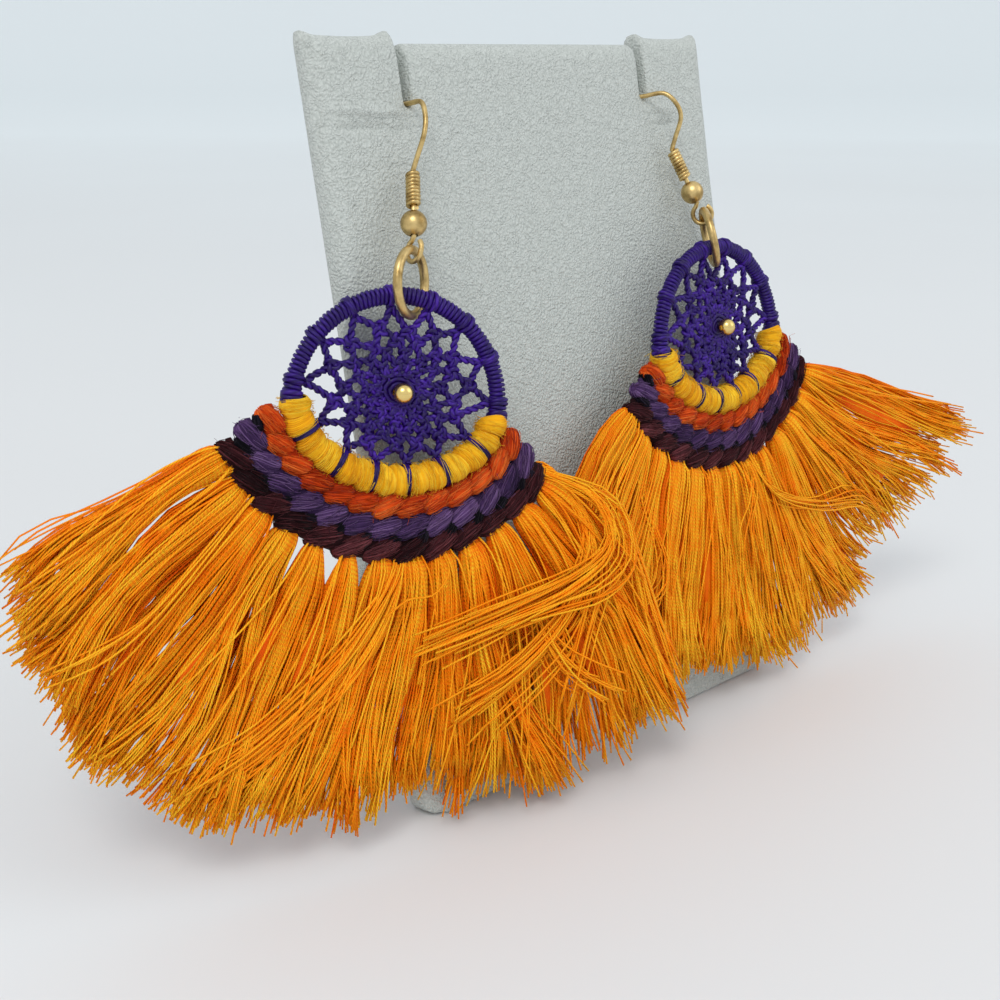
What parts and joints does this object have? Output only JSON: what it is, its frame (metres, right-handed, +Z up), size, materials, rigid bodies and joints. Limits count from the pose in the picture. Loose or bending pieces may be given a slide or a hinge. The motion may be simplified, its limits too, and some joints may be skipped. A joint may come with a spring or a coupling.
{
  "type": "pair of tassel earrings on display stand",
  "caption": "Drop earrings with a knotted dreamcatcher net in a cord-wound hoop, coloured yarn rows and a fanned thread fringe, hung on a padded slotted display stand",
  "frame": {"origin": "on the table, at the middle of the panel's flat lower edge, which rests on it", "axes": "+Z up, +X along the panel to the right of someone facing it, +Y from the panel's face back towards the leg"},
  "size_m": [0.1488, 0.0612, 0.0875],
  "materials": {
    "leatherette": "satin, fine pebbled grain",
    "brass_wire": "matte, aged",
    "brass_bead": "satin",
    "purple_cord": "waxed cord",
    "yellow_yarn": "wool yarn",
    "orange_yarn": "wool yarn",
    "violet_yarn": "wool yarn",
    "maroon_yarn": "wool yarn",
    "fringe_thread": "twisted thread with a soft sheen"
  },
  "bodies": {
    "root": {"stand_panel": "leatherette", "stand_leg": "leatherette", "left_ear_hook": "brass_wire", "left_hook_coil": "brass_wire", "left_hook_ball": "brass_bead", "left_jump_ring": "brass_wire", "left_hoop": "purple_cord", "left_net": "purple_cord", "left_net_bead": "brass_bead", "left_yellow_row": "yellow_yarn", "left_orange_row": "orange_yarn", "left_violet_row": "violet_yarn", "left_maroon_row": "maroon_yarn", "left_fringe": "fringe_thread", "right_ear_hook": "brass_wire", "right_hook_coil": "brass_wire", "right_hook_ball": "brass_bead", "right_jump_ring": "brass_wire", "right_hoop": "purple_cord", "right_net": "purple_cord", "right_net_bead": "brass_bead", "right_yellow_row": "yellow_yarn", "right_orange_row": "orange_yarn", "right_violet_row": "violet_yarn", "right_maroon_row": "maroon_yarn", "right_fringe": "fringe_thread"}
  },
  "joints": []
}
